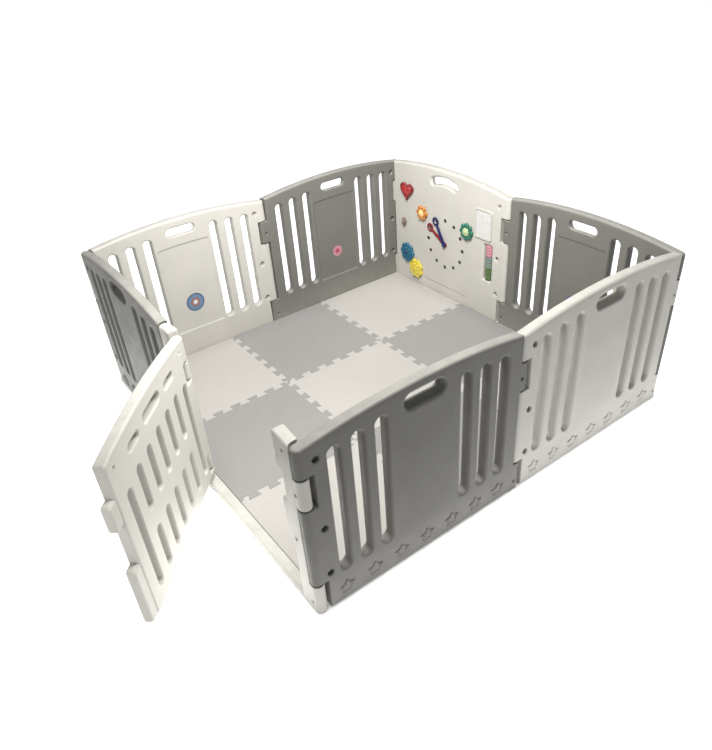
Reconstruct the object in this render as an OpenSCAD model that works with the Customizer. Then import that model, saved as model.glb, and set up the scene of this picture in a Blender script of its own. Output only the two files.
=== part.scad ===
// Square baby playpen: eight moulded panels hinged in a ring, a gate, an activity panel, a foam mat.
// The pen stands on z = 0, centred on the origin. The gate side faces -Y. Units are millimetres.

/* [Panels] */
// Length of a panel, from hinge axis to hinge axis
panel_pitch = 770; // [600:5:900]
// Thickness of a panel
panel_t = 38; // [28:1:50]
// Height of a panel at its two ends
end_h = 602; // [500:1:700]
// Height of a panel at the crown of its arched top
crown_h = 635; // [520:1:760]
// Depth of the sunken field in the middle of each face
field_depth = 3; // [1:0.5:6]
// Width of the sunken field
field_w = 236; // [150:2:250]
// Height of the top of the sunken field
field_top = 527; // [400:1:560]
// Height of the bottom of the sunken field
field_foot = 118; // [80:1:200]

/* [Slots and hand-holes] */
// Width of an upright slot
slot_w = 34; // [16:1:40]
// Slots on each side of the field
slots_per_side = 3; // [1:1:3]
// Distance from the panel's middle to the nearest slot
slot_first = 148; // [140:1:180]
// Distance from slot to slot
slot_step = 74; // [50:1:90]
// Height of the foot of every slot
slot_foot = 125; // [90:1:200]
// Distance from the arched top down to the head of a slot
slot_head = 54; // [30:1:90]
// Length of a hand-hole
hand_w = 124; // [90:1:150]
// Height of a hand-hole
hand_h = 32; // [25:1:45]
// Height of the middle of a hand-hole
hand_z = 581; // [500:1:600]

/* [Embossed stars] */
// Number of stars along the foot of an outer face
star_count = 7; // [1:1:9]
// Distance from star to star
star_step = 100; // [60:1:120]
// Size of a star, from its middle to a point
star_r = 21; // [10:1:30]
// Height of the middle of a star
star_z = 50; // [30:1:90]
// How far a star stands out
star_relief = 1.2; // [0.5:0.1:3]

/* [Panel hinges] */
// Bottom and top of the upper tab
tab_upper = [405, 505];
// Bottom and top of the lower tab
tab_lower = [0, 112];
// Room above and below a tab in its notch
tab_room = 5; // [3:0.5:10]
// Distance from a hinge axis to the cut-back end of the panel that has the tabs
cut_back = 21; // [21:0.5:30]
// Gap between that end and the round end of the next panel
seat_gap = 1.5; // [1:0.1:2]
// Distance from a hinge axis to the lip on the outer side of that end
lip_at = 9; // [9:0.5:20]
// Distance from a hinge axis to the back of a notch
notch_depth = 27; // [21:0.5:35]
// Radius of a hinge pin
pin_r = 4; // [2:0.5:6]
// Running clearance round a pin
pin_gap = 0.05; // [0.02:0.01:0.1]
// Bottom and top of the upper pin
pin_upper = [365, 545];
// Bottom and top of the lower pin
pin_lower = [55, 175];
// Heights of the screw recesses at the notched end
screw_heights = [553, 315, 143];
// Distance of those recesses from the hinge axis
screw_inset = 37; // [30:1:50]
// Radius of a screw recess
screw_r = 7; // [4:0.5:10]
// Depth of a screw recess
screw_depth = 9; // [4:0.5:12]
// Heights of the small recesses in the tabs
tab_screw_heights = [450, 38];
// Distance of those recesses from the hinge axis
tab_screw_at = 8; // [6:0.5:14]
// Radius of a recess in a tab
tab_screw_r = 4.5; // [3:0.5:6]

/* [Gate] */
// Width of the post that the gate shuts against
latch_post_w = 88; // [70:1:110]
// Width of the post that carries the gate
hinge_post_w = 58; // [50:1:90]
// Height of the threshold
threshold_h = 22; // [12:1:40]
// Thickness of the gate
gate_t = 34; // [24:1:38]
// Length of the gate from its hinge axis to its free edge
gate_len = 584; // [400:1:590]
// Distance from the hinge post to the gate's axis
gate_offset = 22; // [19:0.5:30]
// Height of the gate's lower edge
gate_foot = 44; // [30:1:60]
// Height of the gate at its crown
gate_crown = 612; // [500:1:640]
// How far the gate stands open
gate_open = 42; // [0:1:98]
// Bottom and top of the lugs that carry the gate
gate_lugs = [[70, 130], [445, 505]];
// Bottom and top of the pins in the lugs
gate_pins = [[54, 168], [410, 540]];
// Radius of a gate pin
gate_pin_r = 3.5; // [2:0.5:5]
// Bottom and top of the tabs on the gate's free edge
latch_tabs = [[48, 258], [402, 490]];
// How far those tabs stand out
latch_reach = 34; // [26:1:40]
// Bottom and top of the keeps that take them in the latch post
keeps = [[30, 285], [396, 496]];
// Depth of the keeps
keep_depth = 24; // [18:1:30]
// Height of the screw recesses in the latch post
post_screws = [575, 265];
// Width of a gate slot
gate_slot_w = 26; // [15:1:35]
// Distance from column to column of short slots
gate_slot_step = 75.5; // [50:0.5:80]

/* [Foam mat] */
// Side of one tile
tile_pitch = 500; // [300:5:600]
// Thickness of a tile
tile_t = 12; // [8:0.5:20]
// Clearance between the mat and the panels
mat_gap = 3; // [1:0.5:10]
// Teeth along one edge of a tile
tooth_count = 6; // [3:1:10]
// Depth of a tooth
tooth_depth = 24; // [10:1:30]
// Gap between the teeth of two tiles
tooth_gap = 0.4; // [0.2:0.1:1]

/* [Play pieces] */
// Radius of the ring of clock dots
dial_r = 118; // [80:1:130]
// Place of the clock, along the panel and above the floor
clock_at = [396, 283];
// Hour on which the lower hand points
hour_hand_at = 10; // [1:1:12]
// Hour on which the upper hand points
minute_hand_at = 11; // [1:1:12]
// Place of the heart
heart_at = [128, 477];
// Side of the square that the heart is built on
heart_side = 55; // [40:1:70]
// Place of the orange flower
orange_at = [238, 400];
// Place of the green flower
green_at = [545, 393];
// Place of the blue gear flower
blue_at = [120, 160];
// Direction from the blue gear flower to the yellow one
gear_angle = -46; // [-90:1:0]
// Distance between the two gear flowers
gear_centres = 96; // [90:0.5:110]
// Petals on a gear flower
gear_petals = 8; // [6:1:12]
// Place of the small turning knob
knob_at = [100, 320];
// Place of the middle of the roller window
rollers_at = [675, 278];
// Radius of a roller
roller_r = 20; // [12:1:22]
// Length of a roller
roller_h = 56; // [30:1:60]
// Place of the middle of the mirror
mirror_at = [644, 453];
// Outer size of the mirror frame
mirror_size = [104, 138];
// Radius of a round sticker
sticker_r = 42; // [20:1:60]
// Place of a sticker
sticker_at = [382, 248];

/* [Hidden] */
half = panel_pitch;
arch_rise = crown_h - end_h;
arch_r = panel_pitch * panel_pitch / 8 / arch_rise + arch_rise / 2;
barrel_r = panel_t / 2;
gate_barrel_r = gate_t / 2;
gate_axis = panel_pitch - hinge_post_w - gate_offset;
gate_notch = 32;
mat_half = half - panel_t / 2 - mat_gap;
tall = 2 * crown_h;
face_gap = 1;
toy_t = 12;
rivet_r = 4;
rivet_depth = 14;
rivet_head = [9, 3];
hand_t = 4;
dot_t = 0.8;
roller_room = 1;
roller_span = 3 * roller_h + 4 * roller_room;
rod_r = 3;
gear_tip = 3.6;
gear_r = gear_centres / 2 - 0.5;
yellow_at = blue_at + gear_centres * [cos(gear_angle), sin(gear_angle)];
rivets_at = [heart_at, orange_at, green_at, blue_at, yellow_at, knob_at];
slack = 0.3;
round_fn = 64;
arch_fn = 256;
light = [0.90, 0.89, 0.87];
grey = [0.47, 0.47, 0.46];
foam_light = [0.88, 0.86, 0.84];
foam_grey = [0.66, 0.66, 0.65];
steel = [0.7, 0.7, 0.7];

// Height of the arched top, a distance off the panel's middle.
function arch_z(off) = crown_h - arch_r + sqrt(arch_r * arch_r - off * off);

// ---- Where each panel stands: x runs along the panel from its tabs to its notches, y points out ----

module front_right() { translate([half, -half, 0]) rotate(180) children(); }
module front_left() { translate([0, -half, 0]) rotate(180) children(); }
module left_front() { translate([-half, -half, 0]) rotate(90) children(); }
module left_back() { translate([-half, 0, 0]) rotate(90) children(); }
module back_left() { translate([-half, half, 0]) children(); }
module back_right() { translate([0, half, 0]) children(); }
module right_back() { translate([half, half, 0]) rotate(-90) children(); }
module right_front() { translate([half, 0, 0]) rotate(-90) children(); }

// ---- Shapes that several pieces share ----

// Turns a drawing of the panel's face upright and gives it a thickness, centred on the panel.
module upright(thick) { rotate([90, 0, 0]) linear_extrude(thick, center = true) children(); }

// A slot with round ends between two points.
module obround(a, b, width) {
    across = b - a;
    translate(a) circle(d = width, $fn = round_fn);
    translate(b) circle(d = width, $fn = round_fn);
    translate(a) rotate(atan2(across[1], across[0]))
        translate([0, -width / 2]) square([norm(across), width]);
}

// Everything under the arch.
module under_arch(crown, length, middle) {
    intersection() {
        translate([middle, crown - arch_r]) circle(r = arch_r, $fn = arch_fn);
        translate([middle - length, 0]) square([2 * length, tall]);
    }
}

module hand_hole() {
    reach = (hand_w - hand_h) / 2;
    middle = panel_pitch / 2;
    obround([middle - reach, hand_z], [middle + reach, hand_z], hand_h);
}

module slots() {
    for (side = [-1, 1], i = [0 : slots_per_side - 1]) {
        off = side * (slot_first + i * slot_step);
        x = panel_pitch / 2 + off;
        obround([x, slot_foot + slot_w / 2], [x, arch_z(off) - slot_head - slot_w / 2], slot_w);
    }
}

module field() {
    intersection() {
        under_arch(field_top, panel_pitch, panel_pitch / 2);
        translate([(panel_pitch - field_w) / 2, field_foot]) square([field_w, tall]);
    }
}

module star() {
    inner = star_r * 0.45;
    polygon([for (i = [0 : 9]) let (r = i % 2 == 0 ? star_r : inner) r * [sin(36 * i), cos(36 * i)]]);
}

module stars() {
    for (i = [0 : star_count - 1])
        translate([panel_pitch / 2 + (i - (star_count - 1) / 2) * star_step, star_z]) star();
}

// Cuts a drawing of the face into both faces of a panel.
module both_faces(depth) {
    for (side = [-1, 1])
        translate([0, side * (panel_t / 2 - depth / 2 + slack), 0])
            upright(depth + 2 * slack) children();
}

// ---- Hinged ends: every panel has two tabs at x = 0 and two notches at x = panel_pitch ----

module tab(heights) {
    translate([0, 0, heights[0]]) linear_extrude(heights[1] - heights[0]) {
        circle(r = barrel_r, $fn = round_fn);
        translate([0, -barrel_r]) square([cut_back + 1, panel_t]);
    }
}

module notch(heights) {
    foot = heights[0] == 0 ? -tab_room : heights[0] - tab_room;
    translate([panel_pitch - notch_depth, -panel_t, foot])
        cube([notch_depth + panel_t, 2 * panel_t, heights[1] + tab_room - foot]);
}

module pin(heights, radius) {
    translate([0, 0, heights[0]]) cylinder(h = heights[1] - heights[0], r = radius, $fn = round_fn);
}

module hinge_pins() {
    translate([panel_pitch, 0, 0]) { pin(pin_upper, pin_r); pin(pin_lower, pin_r); }
}

module screw_recesses() {
    both_faces(screw_depth) {
        for (z = screw_heights)
            translate([panel_pitch - screw_inset, z]) circle(r = screw_r, $fn = round_fn);
        for (z = tab_screw_heights)
            translate([tab_screw_at, z]) circle(r = tab_screw_r, $fn = round_fn);
    }
}

// Plan of a panel's tabbed end, out to a given length. It is cut back on the inner side, and hollowed
// round the next panel's knuckle on the outer side.
module end_plan(length) {
    difference() {
        translate([lip_at, -barrel_r]) square([length - lip_at, panel_t]);
        translate([-1, -panel_t]) square([cut_back + 1, panel_t]);
        circle(r = barrel_r + seat_gap, $fn = round_fn);
    }
}

// What is taken from a panel for its hinges.
module hinge_cuts() {
    notch(tab_upper);
    notch(tab_lower);
    hinge_pins();
    pin(pin_upper, pin_r + pin_gap);
    pin(pin_lower, pin_r + pin_gap);
    screw_recesses();
}

// A panel with nothing cut out of its face.
module blank() {
    intersection() {
        linear_extrude(tall) {
            end_plan(panel_pitch);
            translate([panel_pitch, 0]) circle(r = barrel_r, $fn = round_fn);
        }
        upright(2 * panel_t) under_arch(crown_h, panel_pitch, panel_pitch / 2);
    }
    tab(tab_upper);
    tab(tab_lower);
}

// A slatted panel with stars along the foot of its outer face.
module plain_panel() {
    difference() {
        blank();
        upright(2 * panel_t) { slots(); hand_hole(); }
        both_faces(field_depth) field();
        hinge_cuts();
    }
    translate([0, barrel_r + star_relief / 2, 0]) upright(star_relief) stars();
}

// ---- The gate side ----

module gate_blank() {
    intersection() {
        linear_extrude(tall) {
            end_plan(latch_post_w);
            translate([panel_pitch - hinge_post_w, -barrel_r]) square([hinge_post_w, panel_t]);
            translate([panel_pitch, 0]) circle(r = barrel_r, $fn = round_fn);
        }
        upright(2 * panel_t) under_arch(crown_h, panel_pitch, panel_pitch / 2);
    }
    translate([cut_back, -barrel_r, 0])
        cube([panel_pitch - hinge_post_w - cut_back + 1, panel_t, threshold_h]);
    tab(tab_upper);
    tab(tab_lower);
    for (lug = gate_lugs) translate([gate_axis, 0, lug[0]]) linear_extrude(lug[1] - lug[0]) {
        circle(r = gate_barrel_r, $fn = round_fn);
        translate([0, -gate_barrel_r]) square([gate_offset + 1, gate_t]);
    }
}

module gate_frame() {
    color(light) front_right() difference() {
        gate_blank();
        hinge_cuts();
        for (keep = keeps) translate([latch_post_w - keep_depth, -panel_t, keep[0]])
            cube([keep_depth + 1, 2 * panel_t, keep[1] - keep[0]]);
        both_faces(screw_depth) for (z = post_screws)
            translate([latch_post_w / 2, z]) circle(r = tab_screw_r, $fn = round_fn);
        translate([gate_axis, 0, 0]) for (p = gate_pins) pin(p, gate_pin_r);
    }
}

// Puts the gate on its hinge: x runs from the hinge axis to the free edge.
module on_gate_hinge() {
    front_right() translate([gate_axis, 0, 0]) rotate(180 - gate_open) children();
}

// The cut-outs of the gate: an arched row at the top, two long slots and two rows of short ones.
module gate_cuts() {
    middle = gate_len / 2;
    w = gate_slot_w;
    for (end = [-1, 1]) {
        x = middle + end * 3 * gate_slot_step;
        obround([x, 110], [x, 445], w);
    }
    for (i = [-2 : 2]) {
        x = middle + i * gate_slot_step;
        obround([x, 95 + w / 2], [x, 250 - w / 2], w);
        obround([x, 318 + w / 2], [x, 478 - 2 * abs(i) - w / 2], w);
    }
    obround([middle - 45, gate_crown - 62], [middle + 45, gate_crown - 62], w + 4);
    for (side = [-1, 1])
        obround([middle + side * 112, gate_crown - 70], [middle + side * 160, gate_crown - 70], w - 4);
}

module gate_door() {
    color(light) on_gate_hinge() difference() {
        union() {
            intersection() {
                translate([0, 0, gate_foot]) linear_extrude(tall) {
                    circle(r = gate_barrel_r, $fn = round_fn);
                    translate([0, -gate_barrel_r]) square([gate_len, gate_t]);
                }
                upright(2 * gate_t) under_arch(gate_crown, panel_pitch, gate_len / 2);
            }
            for (keep = latch_tabs) translate([gate_len - 1, 0, keep[0]])
                linear_extrude(keep[1] - keep[0]) {
                    translate([0, 3 - gate_barrel_r])
                        square([latch_reach - gate_barrel_r + 4, gate_t - 6]);
                    translate([latch_reach - gate_barrel_r + 4, 0])
                        circle(r = gate_barrel_r - 3, $fn = round_fn);
                }
        }
        upright(2 * gate_t) gate_cuts();
        for (lug = gate_lugs) translate([-gate_t, -gate_t, lug[0] - tab_room])
            cube([gate_t + gate_notch, 2 * gate_t, lug[1] - lug[0] + 2 * tab_room]);
        for (p = gate_pins) pin(p, gate_pin_r + pin_gap);
        for (side = [-1, 1], x = [38, gate_len - 38])
            translate([x, side * (gate_t / 2 - 3), 560]) rotate([90, 0, 0])
                cylinder(h = 8, r = 5, center = true, $fn = round_fn);
    }
}

module pins_gate() {
    color(steel) front_right() translate([gate_axis, 0, 0]) for (p = gate_pins) pin(p, gate_pin_r);
}

// ---- The slatted panels ----

module panel_front_left() { color(grey) front_left() plain_panel(); }
module panel_left_front() { color(light) left_front() plain_panel(); }
module panel_left_back() { color(grey) left_back() plain_panel(); }
module panel_back_right() { color(grey) back_right() plain_panel(); }
module panel_right_back() { color(light) right_back() plain_panel(); }
module panel_right_front() { color(grey) right_front() plain_panel(); }

module pins_front() { color(steel) front_right() hinge_pins(); }
module pins_front_left() { color(steel) front_left() hinge_pins(); }
module pins_left() { color(steel) left_front() hinge_pins(); }
module pins_back_left() { color(steel) left_back() hinge_pins(); }
module pins_back() { color(steel) back_left() hinge_pins(); }
module pins_back_right() { color(steel) back_right() hinge_pins(); }
module pins_right() { color(steel) right_back() hinge_pins(); }
module pins_front_right() { color(steel) right_front() hinge_pins(); }

// ---- The activity panel and its play pieces ----

// Lays a play piece on the inner face: its own z axis points into the pen.
module on_face(at, lift = face_gap) {
    back_left() translate([at[0], -barrel_r - lift, at[1]]) rotate([90, 0, 0]) children();
}

// The curved hand-hole of the activity panel.
module curved_hand_hole() {
    r = 210;
    spread = 20;
    translate([panel_pitch / 2, hand_z + 2 - r]) {
        intersection() {
            difference() {
                circle(r = r + hand_h / 2, $fn = 128);
                circle(r = r - hand_h / 2, $fn = 128);
            }
            polygon([[0, 0], for (side = [-1, 1]) 2 * r * [side * sin(spread), cos(spread)]]);
        }
        for (a = [-spread, spread]) translate(r * [sin(a), cos(a)]) circle(d = hand_h, $fn = round_fn);
    }
}

module panel_activity() {
    color(light) back_left() difference() {
        blank();
        upright(2 * panel_t) {
            curved_hand_hole();
            translate([rollers_at[0] - roller_r - 4, rollers_at[1] - roller_span / 2])
                square([2 * roller_r + 8, roller_span]);
        }
        translate([0, -barrel_r, 0]) upright(8) obround([247, 56], [541, 56], 9);
        hinge_cuts();
        for (at = concat(rivets_at, [clock_at])) translate([at[0], -barrel_r - 1, at[1]])
            rotate([-90, 0, 0]) cylinder(h = rivet_depth + 1, r = rivet_r, $fn = round_fn);
        translate([rollers_at[0], 0, rollers_at[1] - roller_span / 2 - 15])
            cylinder(h = roller_span + 30, r = rod_r, $fn = round_fn);
    }
}

// A rivet from inside the panel to a head above a play piece.
module rivet(at, above) {
    on_face(at, -rivet_depth) {
        cylinder(h = rivet_depth + above, r = rivet_r, $fn = round_fn);
        translate([0, 0, rivet_depth + above])
            cylinder(h = rivet_head[1], r = rivet_head[0], $fn = round_fn);
    }
}

module toy_rivets() {
    color(light) {
        for (at = rivets_at) rivet(at, face_gap + toy_t + 0.5);
        rivet(clock_at, 2 * face_gap + dot_t + 2 * hand_t + 1.5);
    }
}

// A play piece cut from a drawing, with the bore that it turns on.
module turning(at, lift = face_gap, thick = toy_t) {
    on_face(at, lift) difference() {
        linear_extrude(thick) children();
        translate([0, 0, -1]) cylinder(h = thick + 2, r = rivet_r + pin_gap, $fn = round_fn);
    }
}

// Two round lobes over a point. The sides meet the lobes just inside their edges.
module heart() {
    r = heart_side / 2;
    spread = r * cos(45);
    color([0.78, 0.16, 0.18]) turning(heart_at) {
        for (side = [-1, 1]) translate([side * spread, spread]) circle(r = r, $fn = round_fn);
        polygon([[0, -1.44 * r], [1.37 * r, 0], [0, spread], [-1.37 * r, 0]]);
    }
}

module flower(petals, reach, petal_r) {
    circle(r = reach, $fn = round_fn);
    for (i = [0 : petals - 1]) rotate(i * 360 / petals)
        translate([reach, 0]) circle(r = petal_r, $fn = round_fn);
}

module flower_orange() { color([0.93, 0.56, 0.20]) turning(orange_at) flower(6, 24, 13); }
module flower_green() { color([0.15, 0.55, 0.45]) turning(green_at) flower(8, 29, 11); }

// A flower whose wavy edge meshes with its twin's.
module gear(phase) {
    steps = 12 * gear_petals;
    polygon([for (i = [0 : steps - 1]) let (a = i * 360 / steps)
        (gear_r + gear_tip * cos(gear_petals * a)) * [cos(a + phase), sin(a + phase)]]);
}

module gear_blue() { color([0.10, 0.42, 0.62]) turning(blue_at) gear(gear_angle); }
module gear_yellow() {
    color([0.93, 0.82, 0.22]) turning(yellow_at) gear(gear_angle + 180 + 180 / gear_petals);
}

module knob() {
    color([0.52, 0.45, 0.40]) turning(knob_at) {
        circle(r = 15, $fn = round_fn);
        square([12, 44], center = true);
    }
}

// A clock hand with a ring at its end that goes round a dot of the dial.
module clock_hand(hour, lift) {
    turning(clock_at, lift, hand_t) rotate(90 - 30 * hour) {
        circle(r = 12, $fn = round_fn);
        polygon([[0, -9], [dial_r - 14, -5], [dial_r - 14, 5], [0, 9]]);
        difference() {
            translate([dial_r, 0]) circle(r = 20, $fn = round_fn);
            translate([dial_r, 0]) circle(r = 11, $fn = round_fn);
        }
    }
}

module hour_hand() { color([0.75, 0.16, 0.16]) clock_hand(hour_hand_at, face_gap + dot_t); }
module minute_hand() {
    color([0.12, 0.18, 0.50]) clock_hand(minute_hand_at, 2 * face_gap + dot_t + hand_t);
}

module clock_dots() {
    color([0.22, 0.17, 0.15]) for (hour = [1 : 12]) on_face(clock_at, 0)
        translate(dial_r * [sin(30 * hour), cos(30 * hour), 0])
            cylinder(h = dot_t, r = 6.5, $fn = round_fn);
}

module roller(i) {
    z = rollers_at[1] + i * (roller_h + roller_room) - roller_h / 2;
    back_left() translate([rollers_at[0], 0, z]) difference() {
        cylinder(h = roller_h, r = roller_r, $fn = round_fn);
        translate([0, 0, -1]) cylinder(h = roller_h + 2, r = rod_r + pin_gap, $fn = round_fn);
    }
}

module roller_top() { color([0.80, 0.35, 0.40]) roller(1); }
module roller_middle() { color([0.50, 0.58, 0.52]) roller(0); }
module roller_bottom() { color([0.35, 0.55, 0.30]) roller(-1); }
module roller_rod() {
    color(steel) back_left() translate([rollers_at[0], 0, rollers_at[1] - roller_span / 2 - 15])
        cylinder(h = roller_span + 30, r = rod_r, $fn = round_fn);
}

module mirror_frame() {
    rim = 9;
    color(light) on_face(mirror_at, 0) linear_extrude(5) difference() {
        square(mirror_size, center = true);
        square(mirror_size - 2 * [rim, rim], center = true);
    }
}

module mirror() {
    color([0.8, 0.82, 0.84]) on_face(mirror_at, 0) linear_extrude(2)
        square(mirror_size - [18.6, 18.6], center = true);
}

// ---- Stickers on the sunken fields ----

module sticker(radius) {
    translate([sticker_at[0], field_depth - barrel_r, sticker_at[1]]) rotate([90, 0, 0])
        cylinder(h = 0.6, r = radius, $fn = round_fn);
}

module sticker_left_front() { color([0.35, 0.50, 0.65]) left_front() sticker(sticker_r); }
module sticker_left_back() { color([0.80, 0.45, 0.50]) left_back() sticker(sticker_r * 0.7); }
module sticker_back_right() { color([0.35, 0.50, 0.65]) back_right() sticker(sticker_r); }

// ---- The foam mat: nine tiles that hold each other by their teeth ----

// The points of a toothed edge, from corner to corner. lower is 1 for the tile under the line, -1 above.
function toothed(lower) =
    let (margin = 14, step = (tile_pitch - 2 * margin) / tooth_count, h = tooth_depth / 2,
         s = lower * tooth_gap / 2, splay = 4)
    concat([[margin, -s], [margin - s, -h - s]],
        [for (i = [0 : tooth_count - 1])
            for (p = [[0.25, 1, -h], [0.25, -1, h], [0.75, 1, h], [0.75, -1, -h]])
                [margin + (i + p[0]) * step + splay * p[1] + (p[0] < 0.5 ? s : -s), p[2] - s]],
        [[tile_pitch - margin + s, -h - s], [tile_pitch - margin, -s]]);

// A tile, col and row from -1 to 1. An edge against a panel is straight.
module tile(col, row) {
    h = tile_pitch / 2;
    s = tooth_gap / 2;
    west = col == -1 ? -mat_half : -h + s + col * tile_pitch;
    east = col == 1 ? mat_half : h - s + col * tile_pitch;
    south = row == -1 ? -mat_half : -h + s + row * tile_pitch;
    north = row == 1 ? mat_half : h - s + row * tile_pitch;
    x0 = col * tile_pitch - h;
    y0 = row * tile_pitch - h;
    far = toothed(1);
    near = toothed(-1);
    last = len(far) - 1;
    linear_extrude(tile_t) polygon(concat(
        [[west, south]],
        row == -1 ? [] : [for (p = near) [x0 + p[0], y0 + p[1]]],
        [[east, south]],
        col == 1 ? [] : [for (p = far) [x0 + tile_pitch + p[1], y0 + p[0]]],
        [[east, north]],
        row == 1 ? [] : [for (i = [last : -1 : 0]) [x0 + far[i][0], y0 + tile_pitch + far[i][1]]],
        [[west, north]],
        col == -1 ? [] : [for (i = [last : -1 : 0]) [x0 + near[i][1], y0 + near[i][0]]]));
}

module tile_front_left() { color(foam_light) tile(-1, -1); }
module tile_front() { color(foam_grey) tile(0, -1); }
module tile_front_right() { color(foam_light) tile(1, -1); }
module tile_left() { color(foam_grey) tile(-1, 0); }
module tile_centre() { color(foam_light) tile(0, 0); }
module tile_right() { color(foam_grey) tile(1, 0); }
module tile_back_left() { color(foam_light) tile(-1, 1); }
module tile_back() { color(foam_grey) tile(0, 1); }
module tile_back_right() { color(foam_light) tile(1, 1); }

gate_frame();
panel_front_left();
panel_left_front();
panel_left_back();
panel_activity();
panel_back_right();
panel_right_back();
panel_right_front();
gate_door();
pins_front_right();
pins_front();
pins_front_left();
pins_left();
pins_back_left();
pins_back();
pins_back_right();
pins_right();
pins_gate();
tile_front_left();
tile_front();
tile_front_right();
tile_left();
tile_centre();
tile_right();
tile_back_left();
tile_back();
tile_back_right();
heart();
flower_orange();
flower_green();
gear_blue();
gear_yellow();
knob();
hour_hand();
minute_hand();
clock_dots();
toy_rivets();
roller_top();
roller_middle();
roller_bottom();
roller_rod();
mirror_frame();
mirror();
sticker_left_front();
sticker_left_back();
sticker_back_right();
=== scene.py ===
"""Looks for the square baby playpen. Units are metres, z is up and the gate side faces -Y."""

import math

import bmesh
import bpy
from mathutils import Matrix, Vector


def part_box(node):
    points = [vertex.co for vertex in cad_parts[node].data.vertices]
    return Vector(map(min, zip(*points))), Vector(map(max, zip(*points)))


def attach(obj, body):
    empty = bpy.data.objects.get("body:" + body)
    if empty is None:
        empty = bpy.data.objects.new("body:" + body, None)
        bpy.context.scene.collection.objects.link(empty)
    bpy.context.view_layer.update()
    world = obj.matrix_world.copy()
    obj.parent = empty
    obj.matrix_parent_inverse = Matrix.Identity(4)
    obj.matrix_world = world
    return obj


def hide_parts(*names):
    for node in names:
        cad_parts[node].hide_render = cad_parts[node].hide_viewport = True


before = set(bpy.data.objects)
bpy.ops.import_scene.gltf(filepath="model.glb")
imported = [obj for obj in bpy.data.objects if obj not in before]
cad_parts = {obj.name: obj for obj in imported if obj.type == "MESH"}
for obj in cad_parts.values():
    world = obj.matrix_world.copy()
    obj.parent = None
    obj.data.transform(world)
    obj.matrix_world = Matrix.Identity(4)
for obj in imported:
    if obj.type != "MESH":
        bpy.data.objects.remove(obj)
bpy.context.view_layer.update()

# ---- Driving sizes, read from the frame where a box gives them ----

ACTIVITY_LOW, ACTIVITY_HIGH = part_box("panel_activity")
THICK = ACTIVITY_HIGH.y - ACTIVITY_LOW.y  # thickness of a panel
PITCH = ACTIVITY_HIGH.x - ACTIVITY_LOW.x - THICK  # from hinge axis to hinge axis
CROWN = ACTIVITY_HIGH.z  # crown of an arched top
END_HEIGHT = 0.602  # height of a panel at its ends
RISE = CROWN - END_HEIGHT
ARCH_RADIUS = PITCH * PITCH / 8 / RISE + RISE / 2
BARREL = THICK / 2  # radius of a hinge knuckle
SEAT_GAP = 0.0015  # between a knuckle and its hollow
LIP_AT = 0.009  # from the hinge axis to that hollow's lip
CUT_BACK = 0.021  # from the hinge axis to the cut-back inner end
NOTCH = 0.027  # from the hinge axis to the back of a notch
ROOM = 0.005  # above and below a tab
TAB_REACH = 0.03  # from the hinge axis to a tab's hidden end
TABS = [(0.0, 0.112), (0.405, 0.505)]  # bottom and top of each tab
KNUCKLES = [(0.117, 0.400), (0.510, END_HEIGHT)]  # bottom and top of the knuckles between them
EMBED = 0.004  # how far a plate runs past its hinge axis
EDGE = 0.010  # rounding of a panel's edges
FINE_EDGE = 0.008  # the same on the gate and the posts
CRISP = 0.003  # rounding of tabs, notches and knuckle rims
NOOK = 0.002  # rounding of an inner corner
PAST = 0.002  # how far a cutter runs past a face
CLEAR = 0.05  # how far a cutter runs past an end
SCREW_HEIGHTS = [0.553, 0.315, 0.143]
SCREW_INSET = 0.037  # from the notched end's hinge axis
SCREW = (0.0100, 0.012)  # radius and depth of those recesses
TAB_SCREW_HEIGHTS = [0.450, 0.038]
TAB_SCREW_AT = 0.008  # from the tabbed end's hinge axis
SMALL_SCREW = 0.0045

SLOT_WIDTH = 0.034
SLOT_RIM = (0.009, 0.015)  # width and depth of the rounding of its rims
SLOT_FOOT = 0.125  # from the floor to a slot's foot
SLOT_HEAD = 0.054  # from a slot's head to the arched top
SLOT_OFFSETS = [side * off for side in (-1, 1) for off in (0.148, 0.222, 0.296)]
HAND_HOLE = (0.124, 0.032, 0.581)  # length, height, height of its middle
DISH_REACH = 0.018  # spread of the dish outside a hand-hole
DISH_DROP = 0.003  # how far the dish sits below it
WEB = 0.012  # thickness of the panel inside a hand-hole
FIELD = (0.236, 0.118, 0.527, 0.003)  # width, bottom, top and depth of the sunken field
STARS = (7, 0.100, 0.050, 0.024, 0.0012)  # count, step, height, size and relief

GATE_THICK = 0.034
GATE_LENGTH = 0.584  # from its hinge axis to its free edge
GATE_FOOT = 0.044
GATE_CROWN = 0.612
GATE_OPEN = 42.0  # degrees open at rest
GATE_BARREL = GATE_THICK / 2
GATE_AXIS = 0.690  # along the gate side's panel frame
GATE_LUGS = [(0.070, 0.130), (0.445, 0.505)]  # bottom and top of the hinge post's lugs
GATE_NOTCH = 0.032  # from its hinge axis to the back of a notch
GATE_RIM = (0.006, 0.009)  # like SLOT_RIM
GATE_SLOT_STEP = 0.0755
GATE_SLOT_WIDTH = 0.026
GATE_LONG = (0.110, 0.445)  # ends of the long slots' middle lines
GATE_LOWER = (0.095, 0.250)  # foot and head of the lower short slots
GATE_UPPER = (0.318, 0.478)  # foot and head of the upper ones
GATE_SCREW = (0.038, 0.560)  # in from each side, and height
LATCH_TABS = [(0.048, 0.258), (0.402, 0.490)]  # bottom and top of the gate's two tabs
LATCH_REACH = 0.034  # how far they stand out of its free edge
LATCH_POST = 0.088  # width of the post that they enter
LATCH_SCREWS = [0.575, 0.265]  # heights, in the middle of that post
HINGE_POST = 0.058  # width of the other post
THRESHOLD = 0.022
KEEPS = [(THRESHOLD, 0.285), (0.396, 0.496)]  # bottom and top of the hollows for the tabs
KEEP_DEPTH = 0.024

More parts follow.
